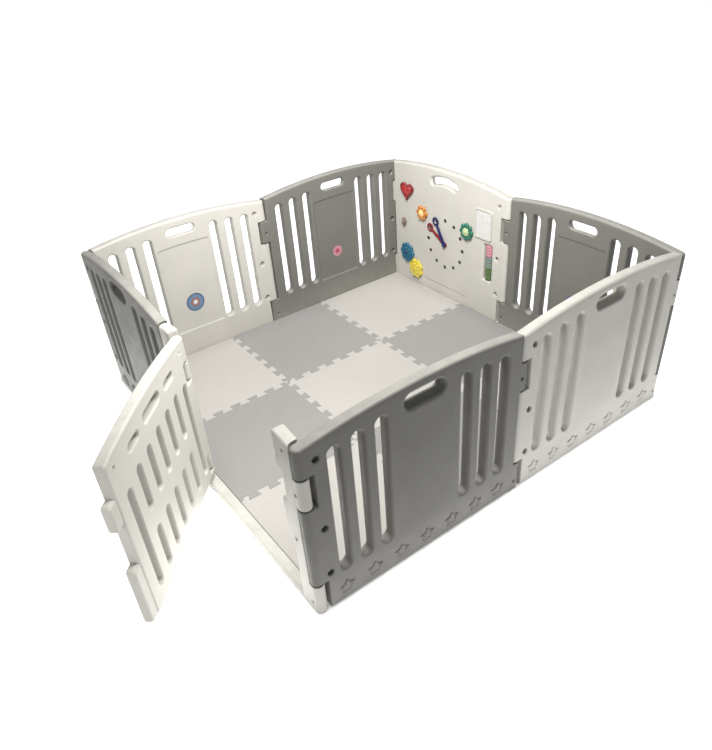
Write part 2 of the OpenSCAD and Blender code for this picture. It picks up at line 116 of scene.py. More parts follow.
TILE = 0.500
TILE_THICK = 0.012
MAT_HALF = PITCH - THICK / 2 - 0.003  # half the mat's width
TEETH = 6  # along one side of a tile
TOOTH_DEPTH = 0.024
TOOTH_GAP = 0.0004

# Spots on the activity panel are (along the panel, height).
TOY_THICK = 0.012
FACE_GAP = 0.001  # between a play piece and the panel
DIAL = 0.118  # radius of the ring of clock dots
CLOCK = (0.396, 0.283)
HOUR_HAND, MINUTE_HAND = 10, 11  # the hours that they point to
HEART = (0.128, 0.477)
ORANGE = (0.238, 0.400)
GREEN = (0.545, 0.393)
BLUE = (0.120, 0.160)
GEAR_CENTRES = 0.096
GEAR_ANGLE = math.radians(-46)
YELLOW = (BLUE[0] + GEAR_CENTRES * math.cos(GEAR_ANGLE), BLUE[1] + GEAR_CENTRES * math.sin(GEAR_ANGLE))
KNOB = (0.100, 0.320)
ROLLERS = (0.675, 0.278)
ROLLER = (0.020, 0.056, 0.001)  # radius, length and room between two rollers
MIRROR = (0.644, 0.453)
MIRROR_SIZE = (0.104, 0.138)
STICKER = (0.382, 0.248)

# Where each panel stands: its hinge axis with the tabs, and the turn of its length about z.
PLACES = {
    "front_right": (PITCH, -PITCH, 180),
    "front_left": (0, -PITCH, 180),
    "left_front": (-PITCH, -PITCH, 90),
    "left_back": (-PITCH, 0, 90),
    "back_left": (-PITCH, PITCH, 0),
    "back_right": (0, PITCH, 0),
    "right_back": (PITCH, PITCH, -90),
    "right_front": (PITCH, 0, -90),
}

UPRIGHT = Matrix.Rotation(math.pi / 2, 4, "X")


def shift(x, y, z):
    return Matrix.Translation((x, y, z))


def turn(degrees, axis="Z"):
    return Matrix.Rotation(math.radians(degrees), 4, axis)


def place(name):
    """From a panel's own frame to where it stands."""
    x, y, degrees = PLACES[name]
    return shift(x, y, 0) @ turn(degrees)


def arch_z(off, crown=CROWN):
    """Height of an arched top, a distance off its middle."""
    return crown - ARCH_RADIUS + math.sqrt(ARCH_RADIUS**2 - off * off)


# ---- Outlines: lists of points round a shape ----


def rounded(corners, steps=7):
    """A closed outline. Each corner is (x, y, radius), and a radius of 0 leaves it sharp."""
    points = []
    for index, (x, y, radius) in enumerate(corners):
        here = Vector((x, y))
        if radius == 0:
            points.append(here)
            continue
        back = (Vector(corners[index - 1][:2]) - here).normalized()
        ahead = (Vector(corners[(index + 1) % len(corners)][:2]) - here).normalized()
        half = back.angle(ahead) / 2
        middle = here + (back + ahead).normalized() * radius / math.sin(half)
        start = here + back * radius / math.tan(half) - middle
        stop = here + ahead * radius / math.tan(half) - middle
        points += [middle + radius * start.slerp(stop, step / steps) for step in range(steps + 1)]
    return points


def quarter(steps):
    """Angles from 0 to 90 degrees."""
    return [math.radians(90 * step / steps) for step in range(steps + 1)]


def rectangle(left, low, right, high, radius=0):
    return rounded([(left, low, radius), (right, low, radius), (right, high, radius), (left, high, radius)])


def circle(radius, steps=48, at=(0, 0)):
    turns = [2 * math.pi * step / steps for step in range(steps)]
    return [Vector((at[0] + radius * math.cos(a), at[1] + radius * math.sin(a))) for a in turns]


def spun(point, angle):
    """A point turned round the origin."""
    return Vector((point.x * math.cos(angle) - point.y * math.sin(angle),
                   point.x * math.sin(angle) + point.y * math.cos(angle)))


def stadium(path, radius, steps=16):
    """The outline a distance out from an open path of points, with round ends."""
    sides = []
    for line in (path, path[::-1]):
        for index, point in enumerate(line):
            ahead = line[min(index + 1, len(line) - 1)] - line[max(index - 1, 0)]
            normal = Vector((ahead.y, -ahead.x)).normalized()
            sides.append(point + normal * radius)
        tip = line[-1]
        start = sides[-1] - tip
        for step in range(1, steps):
            sides.append(tip + spun(start, math.pi * step / steps))
    return sides


def obround(a, b, width, steps=16):
    return stadium([Vector(a), Vector(b)], width / 2, steps)


def arch_corners(left, right, crown=CROWN, middle=PITCH / 2, steps=40):
    """Sharp corners along an arched top, from right to left, without its two ends."""
    spots = [right + (left - right) * step / steps for step in range(1, steps)]
    return [(x, arch_z(x - middle, crown), 0) for x in spots]


# ---- Meshes ----


def added(name, data):
    """A new object in the scene."""
    obj = bpy.data.objects.new(name, data)
    bpy.context.scene.collection.objects.link(obj)
    return obj


def evaluated(data, prepare=None):
    """The mesh of some object data, after any modifiers that prepare adds."""
    obj = added("made", data)
    if prepare:
        prepare(obj)
    bpy.context.view_layer.update()
    graph = bpy.context.evaluated_depsgraph_get()
    mesh = bpy.data.meshes.new_from_object(obj.evaluated_get(graph))
    bpy.data.objects.remove(obj)
    return mesh


def cleaned(mesh, weld=1e-5):
    made = bmesh.new()
    made.from_mesh(mesh)
    bmesh.ops.remove_doubles(made, verts=made.verts, dist=weld)
    bmesh.ops.recalc_face_normals(made, faces=made.faces)
    made.to_mesh(mesh)
    made.free()
    return mesh


def curve_mesh(loops, dimensions, bevel, steps, closed=True, **settings):
    """The mesh of a bevelled curve through loops of points."""
    curve = bpy.data.curves.new("curve", "CURVE")
    curve.dimensions = dimensions
    curve.bevel_depth = bevel
    curve.bevel_resolution = steps
    for key, value in settings.items():
        setattr(curve, key, value)
    for loop in loops:
        spline = curve.splines.new("POLY")
        spline.points.add(len(loop) - 1)
        for spot, point in zip(spline.points, loop):
            spot.co = (*point.to_3d(), 1)
        spline.use_cyclic_u = closed
    return cleaned(evaluated(curve))


def plate(loops, thick, edge, steps=4):
    """A plate with rounded edges, lying flat and centred on z = 0. Loops inside the first are holes."""
    return curve_mesh(loops, "2D", edge, steps, fill_mode="BOTH", extrude=thick / 2 - edge, offset=-edge)


def tube(points, radius, closed=True):
    """A round bead along points."""
    return curve_mesh([points], "3D", radius, 3, closed, use_fill_caps=True)


def rings_mesh(rings):
    """A closed solid through rings of points, which all have the same number of points."""
    made = bmesh.new()
    verts = [[made.verts.new(point) for point in ring] for ring in rings]
    count = len(rings[0])
    for low, high in zip(verts, verts[1:]):
        for index in range(count):
            after = (index + 1) % count
            made.faces.new((low[index], low[after], high[after], high[index]))
    made.faces.new(verts[0][::-1])
    made.faces.new(verts[-1])
    bmesh.ops.recalc_face_normals(made, faces=made.faces)
    mesh = bpy.data.meshes.new("rings")
    made.to_mesh(mesh)
    made.free()
    return mesh


def lathe(profile, segments=48):
    """A solid turned round the z axis. The profile is a list of (radius, z)."""
    return rings_mesh([[Vector((p.x, p.y, z)) for p in circle(radius, segments)] for radius, z in profile])


def barrel(radius, low, high, foot=CRISP, head=CRISP, steps=6):
    """An upright knuckle, with its rims rounded by foot and head."""
    profile = []
    for edge, centre, start in ((foot, low + foot, -90), (head, high - head, 0)):
        for step in range(steps + 1):
            a = math.radians(start + 90 * step / steps)
            profile.append((radius - edge + edge * math.cos(a), centre + edge * math.sin(a)))
    return lathe(profile)


def moved(mesh, matrix):
    mesh.transform(matrix)
    if matrix.determinant() < 0:
        mesh.flip_normals()
    return mesh


def upright(loops, thick, edge, steps=4, y=0):
    """A plate that stands in a panel's plane, its middle at y."""
    return moved(plate(loops, thick, edge, steps), shift(0, y, 0) @ UPRIGHT)


def joined(meshes):
    made = bmesh.new()
    for mesh in meshes:
        made.from_mesh(mesh)
    result = bpy.data.meshes.new("joined")
    made.to_mesh(result)
    made.free()
    return result


def boolean(mesh, operation, others):
    """The mesh united with others, or with others cut out of it."""
    tools = []

    def add(obj):
        for other in others:
            tools.append(added("tool", other))
            step = obj.modifiers.new("step", "BOOLEAN")
            step.operation = operation
            step.object = tools[-1]
            step.solver = "EXACT"

    result = evaluated(mesh, add)
    for tool in tools:
        bpy.data.objects.remove(tool)
    return result


def piece(name, mesh, materials, body, nodes, matrix=Matrix(), smooth=35):
    """Puts a mesh in the scene as a piece of a body, standing for CAD nodes."""
    own = mesh.copy()
    own.name = name
    for material in materials:
        own.materials.append(material)
    made = bmesh.new()
    made.from_mesh(own)
    for face in made.faces:
        face.smooth = True
    for line in made.edges:
        line.smooth = len(line.link_faces) == 2 and line.calc_face_angle(0) < math.radians(smooth)
    made.to_mesh(own)
    made.free()
    obj = added(name, own)
    obj.matrix_world = matrix
    weighted = obj.modifiers.new("even_shading", "WEIGHTED_NORMAL")
    weighted.keep_sharp = True
    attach(obj, body)
    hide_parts(*nodes)
    return obj


# ---- Materials ----

MIX_FIRST, MIX_SECOND, MIX_RESULT = 6, 7, 2  # the colour sockets of a Mix node


def add_node(tree, kind, **settings):
    made = tree.nodes.new(kind)
    for key, value in settings.items():
        if hasattr(made, key):
            setattr(made, key, value)
        else:
            made.inputs[key.replace("_", " ")].default_value = value
    return made


def noise(tree, coordinates, scale, detail=2.0):
    made = add_node(tree, "ShaderNodeTexNoise", Scale=scale, Detail=detail)
    tree.links.new(coordinates, made.inputs["Vector"])
    return made.outputs["Fac"]


def ramp(tree, source, low, high, to_low, to_high):
    made = add_node(tree, "ShaderNodeMapRange")
    for name, value in zip(("From Min", "From Max", "To Min", "To Max"), (low, high, to_low, to_high)):
        made.inputs[name].default_value = value
    tree.links.new(source, made.inputs["Value"])
    return made.outputs["Result"]


def feed(tree, value, socket):
    """Links a socket to an input, or sets the input to a number or a colour."""
    if isinstance(value, bpy.types.NodeSocket):
        tree.links.new(value, socket)
    else:
        socket.default_value = (*value, 1) if isinstance(value, tuple) else value


def blend_colours(tree, amount, first, second):
    """A mix of two colours, either of which may be a socket."""
    made = add_node(tree, "ShaderNodeMix", data_type="RGBA")
    feed(tree, amount, made.inputs["Factor"])
    feed(tree, first, made.inputs[MIX_FIRST])
    feed(tree, second, made.inputs[MIX_SECOND])
    return made.outputs[MIX_RESULT]


def maths(tree, operation, *values):
    """The result of a math node whose values are sockets or numbers."""
    made = add_node(tree, "ShaderNodeMath", operation=operation)
    for socket, value in zip(made.inputs, values):
        feed(tree, value, socket)
    return made.outputs[0]


def axes_of(tree, vector):
    """The X, Y and Z sockets of a vector socket."""
    made = tree.nodes.new("ShaderNodeSeparateXYZ")
    tree.links.new(vector, made.inputs[0])
    return made.outputs


def patches(tree, where, scale, detail, low=0, high=1, most=0.7):
    """Noise stretched to run from low to high."""
    return ramp(tree, noise(tree, where, scale, detail), 0.3, most, low, high)


def new_material(name):
    material = bpy.data.materials.new(name)
    material.use_nodes = True
    tree = material.node_tree
    where = tree.nodes.new("ShaderNodeTexCoord").outputs["Object"]
    return material, tree, tree.nodes["Principled BSDF"].inputs, where


def shade(colour, factor):
    return tuple(min(1.0, channel * factor) for channel in colour)


def mottled(tree, amount, colour, dark, pale):
    """A colour that varies between two shades of it."""
    return blend_colours(tree, amount, shade(colour, dark), shade(colour, pale))


def bumps(tree, where, looks, heights):
    """Chains bump nodes. Each height is (noise scale and detail, or a socket), strength, distance."""
    last = None
    for source, strength, distance in heights:
        made = add_node(tree, "ShaderNodeBump", Strength=strength, Distance=distance)
        height = noise(tree, where, *source) if isinstance(source, tuple) else source
        feed(tree, height, made.inputs["Height"])
        if last:
            feed(tree, last, made.inputs["Normal"])
        last = made.outputs["Normal"]
    feed(tree, last, looks["Normal"])


DUST = (0.44, 0.42, 0.38)  # colour of dust near the floor


def moulded(name, colour, top, roughness=0.42):
    """Blow-moulded polyethylene: waxy, mottled, worn on its edges and dusty near the floor. Up-facing faces
    blend to the colour top, which is painted light and shade: painted sheen on grey, painted shade on
    white.
    """
    material, tree, looks, where = new_material(name)
    mottle = mottled(tree, patches(tree, where, 7, 4), colour, 0.955, 1.03)
    geometry = tree.nodes.new("ShaderNodeNewGeometry")
    edges = ramp(tree, geometry.outputs["Pointiness"], 0.53, 0.60, 0, 0.35)
    worn = blend_colours(tree, edges, mottle, shade(colour, 1.10))
    height = axes_of(tree, geometry.outputs["Position"])["Z"]
    facing = axes_of(tree, geometry.outputs["Normal"])["Z"]
    blotches = patches(tree, where, 23, 5, 0.55)
    foot = maths(tree, "MULTIPLY", blotches, ramp(tree, height, 0.0, 0.13, 0.30, 0.0))
    # Painted light and shade on up-facing faces: they blend towards top, a painted sheen on grey and
    # painted shade on white.
    painted_top_light_shade = maths(tree, "MULTIPLY", blotches, ramp(tree, facing, 0.35, 0.90, 0, 1))
    dusty = blend_colours(tree, foot, worn, DUST)
    feed(tree, blend_colours(tree, painted_top_light_shade, dusty, top), looks["Base Color"])
    feed(tree, patches(tree, where, 30, 3, roughness - 0.05, roughness + 0.08), looks["Roughness"])
    looks["Specular IOR Level"].default_value = 0.14
    bumps(tree, where, looks, [((900, 2), 0.10, 0.0004), ((55, 2), 0.10, 0.0012), ((9, 1), 0.12, 0.004)])
    return material


def glossy(name, colour, roughness=0.24):
    """Injection-moulded toy plastic with a harder shine and fine scratches."""
    material, tree, looks, where = new_material(name)
    feed(tree, mottled(tree, patches(tree, where, 40, 3), colour, 0.92, 1.06), looks["Base Color"])
    scratches = patches(tree, where, 120, 4, roughness - 0.05, roughness + 0.12, 0.75)
    feed(tree, scratches, looks["Roughness"])
    looks["IOR"].default_value = 1.5
    looks["Coat Weight"].default_value = 0.25
    looks["Coat Roughness"].default_value = 0.12
    bumps(tree, where, looks, [((1500, 2), 0.05, 0.0002), ((140, 2), 0.08, 0.0004)])
    return material


def foam(name, colour):
    """Closed-cell foam: matt, with a fine hatched skin and soft pores."""
    material, tree, looks, where = new_material(name)
    mottle = mottled(tree, patches(tree, where, 3, 5), colour, 0.965, 1.02)
    pores = add_node(tree, "ShaderNodeTexVoronoi", Scale=420.0)
    tree.links.new(where, pores.inputs["Vector"])
    speckle = ramp(tree, pores.outputs["Distance"], 0.0, 0.5, 0.25, 0.0)
    feed(tree, blend_colours(tree, speckle, mottle, shade(colour, 0.90)), looks["Base Color"])
    hatch = []
    for direction in ("DIAGONAL", "X"):
        wave = add_node(tree, "ShaderNodeTexWave", bands_direction=direction, Scale=95.0, Distortion=0.6)
        tree.links.new(where, wave.inputs["Vector"])
        hatch.append((wave.outputs["Fac"], 0.18, 0.0004))
    feed(tree, patches(tree, where, 60, 3, 0.72, 0.9), looks["Roughness"])
    looks["Sheen Weight"].default_value = 0.15
    looks["Sheen Roughness"].default_value = 0.6
    bumps(tree, where, looks, [*hatch, (pores.outputs["Distance"], 0.15, 0.0003), ((11, 2), 0.2, 0.003)])
    return material


def steel(name):
    """Brushed steel, its grain along the pin."""
    material, tree, looks, where = new_material(name)
    stretched = add_node(tree, "ShaderNodeMapping")
    stretched.inputs["Scale"].default_value = (400, 400, 12)
    tree.links.new(where, stretched.inputs["Vector"])
    brushed = noise(tree, stretched.outputs["Vector"], 1.0, 3)
    feed(tree, blend_colours(tree, brushed, (0.50, 0.50, 0.51), (0.66, 0.66, 0.67)), looks["Base Color"])
    feed(tree, ramp(tree, brushed, 0.3, 0.7, 0.25, 0.42), looks["Roughness"])
    looks["Metallic"].default_value = 1.0
    bumps(tree, where, looks, [(brushed, 0.1, 0.0002)])
    return material


def mirror_painted_reflection(name):
    """Acrylic safety mirror, a little wavy, its reflection painted as a dull, even grey tone on a barely
    metallic, fairly rough surface.
    """
    material, tree, looks, where = new_material(name)
    tint = patches(tree, where, 25, 3)
    # Painted reflection: this flat grey stands in for what the mirror reflects.
    feed(tree, blend_colours(tree, tint, (0.56, 0.56, 0.55), (0.60, 0.60, 0.59)), looks["Base Color"])
    feed(tree, patches(tree, where, 14, 2, 0.26, 0.32, 0.8), looks["Roughness"])
    looks["Metallic"].default_value = 0.1
    bumps(tree, where, looks, [((12, 1), 0.06, 0.002)])
    return material


def sticker_print(name, paper, ring, petals, middle):
    """A round sticker of radius 1, printed with a plain six-petalled flower in a ring, under satin film."""
    material, tree, looks, where = new_material(name)
    spot = axes_of(tree, where)
    length = add_node(tree, "ShaderNodeVectorMath", operation="LENGTH")
    tree.links.new(where, length.inputs[0])
    radius = length.outputs["Value"]
    angle = maths(tree, "ARCTAN2", spot["Y"], spot["X"])
    scallop = maths(tree, "COSINE", maths(tree, "MULTIPLY", angle, 6))
    petal_radius = maths(tree, "DIVIDE", radius, ramp(tree, scallop, -1, 1, 0.62, 1.0))
    border = ramp(tree, radius, 0.86, 0.89, 0, 1)
    flower = ramp(tree, petal_radius, 0.60, 0.64, 1, 0)
    centre = ramp(tree, radius, 0.22, 0.25, 1, 0)
    printed = blend_colours(tree, flower, blend_colours(tree, border, paper, ring), petals)
    feed(tree, blend_colours(tree, centre, printed, middle), looks["Base Color"])
    feed(tree, patches(tree, where, 9, 3, 0.28, 0.4), looks["Roughness"])
    bumps(tree, where, looks, [((30, 2), 0.1, 0.02)])
    return material


# The third colour of each is painted onto up-facing tops in place of light: lighter painted sheen on grey,
# darker painted shade on white.
WHITE = moulded("white_moulded", (0.470, 0.459, 0.426), (0.340, 0.332, 0.308))
GREY = moulded("grey_moulded", (0.146, 0.143, 0.132), (0.245, 0.240, 0.222))
FOAM_WHITE = foam("foam_white", (0.295, 0.284, 0.267))
FOAM_GREY = foam("foam_grey", (0.175, 0.173, 0.166))
STEEL = steel("pin_steel")
MIRROR_PAINTED_REFLECTION = mirror_painted_reflection("mirror_painted_reflection")
RED = glossy("red_gloss", (0.33, 0.024, 0.024))
DARK_RED = glossy("dark_red_gloss", (0.17, 0.012, 0.014))
ORANGE_RIM = glossy("orange_rim", (0.44, 0.17, 0.035))
ORANGE_MIDDLE = glossy("orange_middle", (0.80, 0.52, 0.24))
GREEN_RIM = glossy("green_rim", (0.025, 0.13, 0.085))
GREEN_MIDDLE = glossy("green_middle", (0.40, 0.50, 0.26))
BLUE_GLOSS = glossy("blue_gloss", (0.014, 0.105, 0.175))
YELLOW_GLOSS = glossy("yellow_gloss", (0.56, 0.46, 0.05))
BROWN = glossy("brown_gloss", (0.16, 0.12, 0.095), 0.38)
NAVY = glossy("navy_gloss", (0.012, 0.016, 0.085))
HAND_RED = glossy("hand_red", (0.19, 0.014, 0.020))
DARK = glossy("dark_dot", (0.030, 0.022, 0.018), 0.35)
PINK = glossy("pink_gloss", (0.45, 0.20, 0.25))
SAGE = glossy("sage_gloss", (0.14, 0.19, 0.165))
LEAF = glossy("leaf_gloss", (0.07, 0.12, 0.035))
BLUE_STICKER = sticker_print("blue_sticker", (0.11, 0.19, 0.30), (0.05, 0.08, 0.15), (0.26, 0.13, 0.11),
                             (0.55, 0.58, 0.60))
PINK_STICKER = sticker_print("pink_sticker", (0.42, 0.22, 0.25), (0.20, 0.13, 0.13), (0.48, 0.08, 0.15),
                             (0.12, 0.06, 0.06))


# ---- Panels: x runs along the panel from its tabs to its notches, y points out of the pen ----


def panel_outline():
    """A panel without its tabs, notches and knuckles."""
    soft, end = EDGE + 0.001, PITCH + EMBED
    return rounded([(LIP_AT, 0, soft), (end, 0, soft), (end, arch_z(end - PITCH / 2), soft),
                    *arch_corners(LIP_AT, end), (LIP_AT, arch_z(LIP_AT - PITCH / 2), soft)])


def flare(half, rim, deep, steps=6):
    """Pairs of (distance out, y) down a cutter's side, which opens out by rim over the last deep."""
    profile = [(rim * (1 - math.cos(a)), half - deep + deep * math.sin(a)) for a in quarter(steps)]
    profile.append((rim, half + PAST))
    return [(out, -y) for out, y in profile[::-1]] + profile


def hole_cutter(path, radius, profile):
    """A cutter round a path on a face. Its profile is a list of (distance out, y, drop)."""
    rings = []
    for out, y, drop in profile:
        rings.append([Vector((p.x, y, p.y - drop)) for p in stadium(path, radius + out)])
    return rings_mesh(rings)


def slot_cutter(start, end, width, thick=THICK, rim=SLOT_RIM):
    """A cutter for a round-ended slot between two points of a face, with rounded rims."""
    profile = [(out, y, 0) for out, y in flare(thick / 2, *rim)]
    return hole_cutter([Vector(start), Vector(end)], width / 2, profile)


def slot_cutters():
    made = []
    for off in SLOT_OFFSETS:
        x = PITCH / 2 + off
        foot = SLOT_FOOT + SLOT_WIDTH / 2
        head = arch_z(off) - SLOT_HEAD - SLOT_WIDTH / 2
        made.append(slot_cutter((x, foot), (x, head), SLOT_WIDTH))
    return made


def knuckles(edge):
    """The hinge ends of a panel: its square-cut tabs and its round knuckles."""
    inset = 0.0004
    made = []
    for low, high in TABS:
        made.append(upright([rectangle(-EMBED, low, TAB_REACH, high)], THICK - inset, CRISP))
        made.append(barrel(BARREL, low, high))
    for low, high in KNUCKLES:
        head = edge if high == END_HEIGHT else CRISP
        made.append(moved(barrel(BARREL, low, high, CRISP, head), shift(PITCH, 0, 0)))
    return made


def notch_cutters():
    """What clears the notched end for the next panel's tabs."""
    made = []
    for low, high in ((-CLEAR, KNUCKLES[0][0]), (KNUCKLES[0][1], KNUCKLES[1][0])):
        left, right = PITCH - NOTCH, PITCH + CLEAR
        rings = []
        for out, y in flare(THICK / 2, CRISP, CRISP):
            loop = rectangle(left - out, low - out, right, high + out)
            rings.append([Vector((p.x, y, p.y)) for p in loop])
        made.append(rings_mesh(rings))
    return made


def seat_cutters():
    """What hollows the tabbed end, between its tabs, round the next panel's knuckles."""
    reach, bend, hollow = 0.03, 0.008, BARREL + SEAT_GAP
    lip = [Vector((CUT_BACK + bend, bend - BARREL)) + bend * Vector((-math.sin(a), -math.cos(a)))
           for a in quarter(6)]
    seat = [hollow * Vector((math.cos(a), math.sin(a))) for a in quarter(10)]
    outline = [Vector((-reach, -reach)), Vector((CUT_BACK + bend, -reach)), *lip, Vector((CUT_BACK, 0)),
               *seat, Vector((-reach, hollow))]
    gaps = [(TABS[0][1], TABS[1][0]), (TABS[1][1], 2 * CROWN)]
    return [rings_mesh([[Vector((p.x, p.y, z)) for p in outline] for z in gap]) for gap in gaps]


def screws(spots, radius, depth=0.009, thick=THICK):
    """Cutters for countersunk screw recesses at spots on both faces of a panel."""
    sink, ease = 0.003, 0.0012
    wide = radius + sink
    profile = [(radius, -depth), (radius, -sink), (wide - ease, -ease), (wide, 0), (wide, PAST / 2)]
    cutters = []
    for side in (-1, 1):
        facing = shift(0, side * thick / 2, 0) @ turn(-90 * side, "X")
        cutters += [moved(lathe(profile, 24), shift(x, 0, z) @ facing) for x, z in spots]
    return cutters


def hand_hole(path, radius, inner_rim=0.007):
    """A cutter for a hand-hole: a rounded inner rim, a thin web, then a sloping dish to the outer face."""
    half, lip, web_back = THICK / 2, 0.009, 0.003
    profile = [(inner_rim, -half - PAST, 0)]
    profile += [(inner_rim * (1 - math.sin(a)), WEB * (1 - math.cos(a)) - half, 0) for a in quarter(5)]
    profile.append((0.001, WEB + web_back - half, 0))
    profile += [(DISH_REACH - lip * math.cos(a), half - lip + lip * math.sin(a), DISH_DROP)
                for a in quarter(5)]
    profile.append((DISH_REACH, half + PAST, DISH_DROP))
    return hole_cutter(path, radius, profile)


def straight_hand_hole():
    length, height, z = HAND_HOLE
    reach = (length - height) / 2
    path = [Vector((PITCH / 2 - reach, z)), Vector((PITCH / 2 + reach, z))]
    return hand_hole(path, height / 2)


def curved_hand_hole(radius=0.210, spread=20, steps=12):
    """The activity panel's hand-hole, along an arc that spreads by so many degrees each way."""
    z = HAND_HOLE[2] + 0.002 - radius
    turns = [math.radians(-spread + 2 * spread * step / steps) for step in range(steps + 1)]
    path = [Vector((PITCH / 2 + radius * math.sin(a), z + radius * math.cos(a))) for a in turns]
    return hand_hole(path, HAND_HOLE[1] / 2, 0.012)


def field_cutters():
    """The sunken field in the middle of each face, faint outside and clear inside, with an arched head."""
    width, low, high, depth = FIELD
    left, right = (PITCH - width) / 2, (PITCH + width) / 2
    corner = arch_z(width / 2, high)
    made = []
    for side, sunk, soft in ((-1, depth, 0.010), (1, depth / 6, 0.030)):
        radius = soft + 0.002
        loop = rounded([(left, low, radius), (right, low, radius), (right, corner, radius),
                        *arch_corners(left, right, high, steps=6), (left, corner, radius)])
        made.append(upright([loop], 2 * soft, soft, 6, side * (THICK / 2 + soft - sunk)))
    return made


def star_meshes(bead=0.0032):
    """A row of stars along the foot of the outer face, each drawn by a raised bead."""
    count, step, z, size, relief = STARS
    valley, soft, sheet = 0.47, 0.0015, 0.006
    made = []
    for index in range(count):
        middle = PITCH / 2 + (index - (count - 1) / 2) * step
        corners = []
        for corner in range(10):
            reach = (size + bead) * (1 if corner % 2 == 0 else valley)
            angle = math.radians(36 * corner)
            corners.append((middle + reach * math.sin(angle), z + reach * math.cos(angle), soft))
        outline = rounded(corners, 2)
        made.append(tube([Vector((p.x, THICK / 2, p.y)) for p in outline], bead))
        made.append(upright([outline], sheet, relief / 2, 2, THICK / 2 + relief - sheet / 2))
    return made


def hinged(body, edge, cutters=()):
    """A panel's plate with its cutters, seats and notches cut, its hinge ends added and screws sunk."""
    body = boolean(body, "DIFFERENCE", [*cutters, joined(seat_cutters() + notch_cutters())])
    body = boolean(body, "UNION", knuckles(edge))
    deep = screws([(PITCH - SCREW_INSET, z) for z in SCREW_HEIGHTS], *SCREW)
    small = screws([(TAB_SCREW_AT, z) for z in TAB_SCREW_HEIGHTS], SMALL_SCREW)
    return boolean(body, "DIFFERENCE", [joined(deep + small)])


def slatted_panel():
    cutters = [joined(slot_cutters()), joined(field_cutters()), straight_hand_hole()]
    body = hinged(upright([panel_outline()], THICK, EDGE), EDGE, cutters)
    return joined([body, *star_meshes()])


# ---- The gate side ----


def gate_frame_mesh():
    """Two posts on a threshold: x runs from the latch post, with its keeps, to the hinge post."""
    soft = FINE_EDGE + 0.001
    post, keep_back = LATCH_POST, LATCH_POST - KEEP_DEPTH
    hinge_post, end = PITCH - HINGE_POST, PITCH + EMBED
    corners = [(end, 0, soft), (end, arch_z(end - PITCH / 2), soft),
               *arch_corners(hinge_post, end, steps=4),
               (hinge_post, arch_z(hinge_post - PITCH / 2), soft), (hinge_post, THRESHOLD, NOOK)]
    corners += [(keep_back, KEEPS[0][0], NOOK), (keep_back, KEEPS[0][1], NOOK), (post, KEEPS[0][1], soft),
                (post, KEEPS[1][0], soft), (keep_back, KEEPS[1][0], NOOK),
                (keep_back, KEEPS[1][1], NOOK), (post, KEEPS[1][1], soft)]
    corners += [(post, arch_z(post - PITCH / 2), soft), *arch_corners(LIP_AT, post, steps=6),
                (LIP_AT, arch_z(LIP_AT - PITCH / 2), soft), (LIP_AT, 0, soft)]
    body = hinged(upright([rounded(corners)], THICK, FINE_EDGE), FINE_EDGE)
    into_post = hinge_post + 0.01
    for low, high in GATE_LUGS:
        lug = upright([rectangle(GATE_AXIS, low, into_post, high)], GATE_THICK, 0.005)
        knuckle = moved(barrel(GATE_BARREL, low, high), shift(GATE_AXIS, 0, 0))
        body = boolean(body, "UNION", [lug, knuckle])
    spots = [(post / 2, z) for z in LATCH_SCREWS]
    return boolean(body, "DIFFERENCE", [joined(screws(spots, SMALL_SCREW))])


def gate_slot(start, end, width=GATE_SLOT_WIDTH):
    return slot_cutter(start, end, width, GATE_THICK, GATE_RIM)


def gate_slots():
    """The gate's long and short slots, then the three hand-holes along its top."""
    middle, half = GATE_LENGTH / 2, GATE_SLOT_WIDTH / 2
    made = []
    for end in (-3, 3):
        x = middle + end * GATE_SLOT_STEP
        made.append(gate_slot((x, GATE_LONG[0]), (x, GATE_LONG[1])))
    for index in range(-2, 3):
        x = middle + index * GATE_SLOT_STEP
        fall = 0.002 * abs(index)
        made.append(gate_slot((x, GATE_LOWER[0] + half), (x, GATE_LOWER[1] - half)))
        made.append(gate_slot((x, GATE_UPPER[0] + half), (x, GATE_UPPER[1] - fall - half)))
    holes = [(-0.045, 0.045, 0.062, 0.030), (-0.112, -0.160, 0.070, 0.022), (0.112, 0.160, 0.070, 0.022)]
    for start, end, drop, width in holes:
        z = GATE_CROWN - drop
        made.append(gate_slot((middle + start, z), (middle + end, z), width))
    return made


def gate_door_mesh():
    """The gate: x runs from its hinge axis to its free edge, y points to its inner face."""
    soft, middle = FINE_EDGE + 0.001, GATE_LENGTH / 2
    top = arch_z(middle, GATE_CROWN)
    corners = [(-EMBED, GATE_FOOT, soft), (GATE_LENGTH, GATE_FOOT, soft), (GATE_LENGTH, top, soft)]
    corners += arch_corners(-EMBED, GATE_LENGTH, GATE_CROWN, middle)
    corners.append((-EMBED, top, soft))
    for low, high in GATE_LUGS[::-1]:
        corners += [(-EMBED, high + ROOM, soft), (GATE_NOTCH, high + ROOM, NOOK),
                    (GATE_NOTCH, low - ROOM, NOOK), (-EMBED, low - ROOM, soft)]
    body = upright([rounded(corners)], GATE_THICK, FINE_EDGE)
    body = boolean(body, "DIFFERENCE", [joined(gate_slots())])
    low_lug, high_lug = GATE_LUGS
    ends = [(GATE_FOOT, low_lug[0] - ROOM, CRISP), (low_lug[1] + ROOM, high_lug[0] - ROOM, CRISP),
            (high_lug[1] + ROOM, top, FINE_EDGE)]
    body = boolean(body, "UNION", [barrel(GATE_BARREL, low, high, CRISP, head) for low, high, head in ends])
    near, far = GATE_LENGTH - 0.03, GATE_LENGTH + LATCH_REACH
    for low, high in LATCH_TABS:
        tab = rounded([(near, low, 0), (far, low, 0.010), (far, high, 0.010), (near, high, 0)])
        body = boolean(body, "UNION", [upright([tab], GATE_THICK - 0.006, 0.009)])
    inset, z = GATE_SCREW
    recesses = screws([(inset, z), (GATE_LENGTH - inset, z)], 0.0042, thick=GATE_THICK)
    return boolean(body, "DIFFERENCE", [joined(recesses)])


# ---- The activity panel ----


